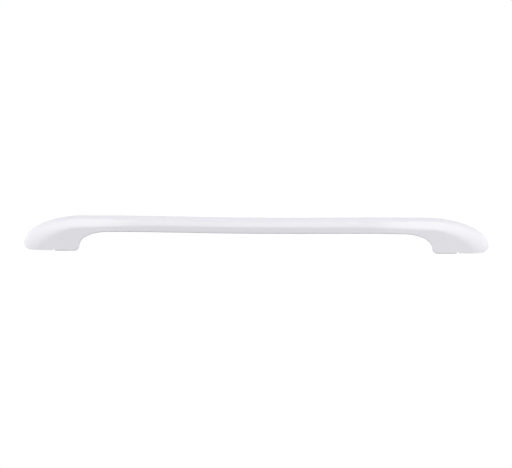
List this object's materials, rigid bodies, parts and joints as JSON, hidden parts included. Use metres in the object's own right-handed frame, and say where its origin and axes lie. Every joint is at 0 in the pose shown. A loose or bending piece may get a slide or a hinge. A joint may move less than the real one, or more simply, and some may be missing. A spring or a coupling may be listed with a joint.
{
  "type": "oven door handle",
  "caption": "Long moulded oven door handle: a smooth, slightly dipped grip on two rounded feet, each with a threaded insert for a screw from inside the door.",
  "frame": {"origin": "middle of the mounting plane, halfway between the two feet, where the pads meet the door", "axes": "+X along the handle, +Y across it, +Z away from the door, out of the grip's crown"},
  "size_m": [0.724, 0.037, 0.052],
  "materials": {
    "white_plastic": "satin",
    "brass": "turned and knurled"
  },
  "bodies": {
    "root": {"handle": "white_plastic", "screw_insert_left": "brass", "screw_insert_right": "brass"}
  },
  "joints": []
}
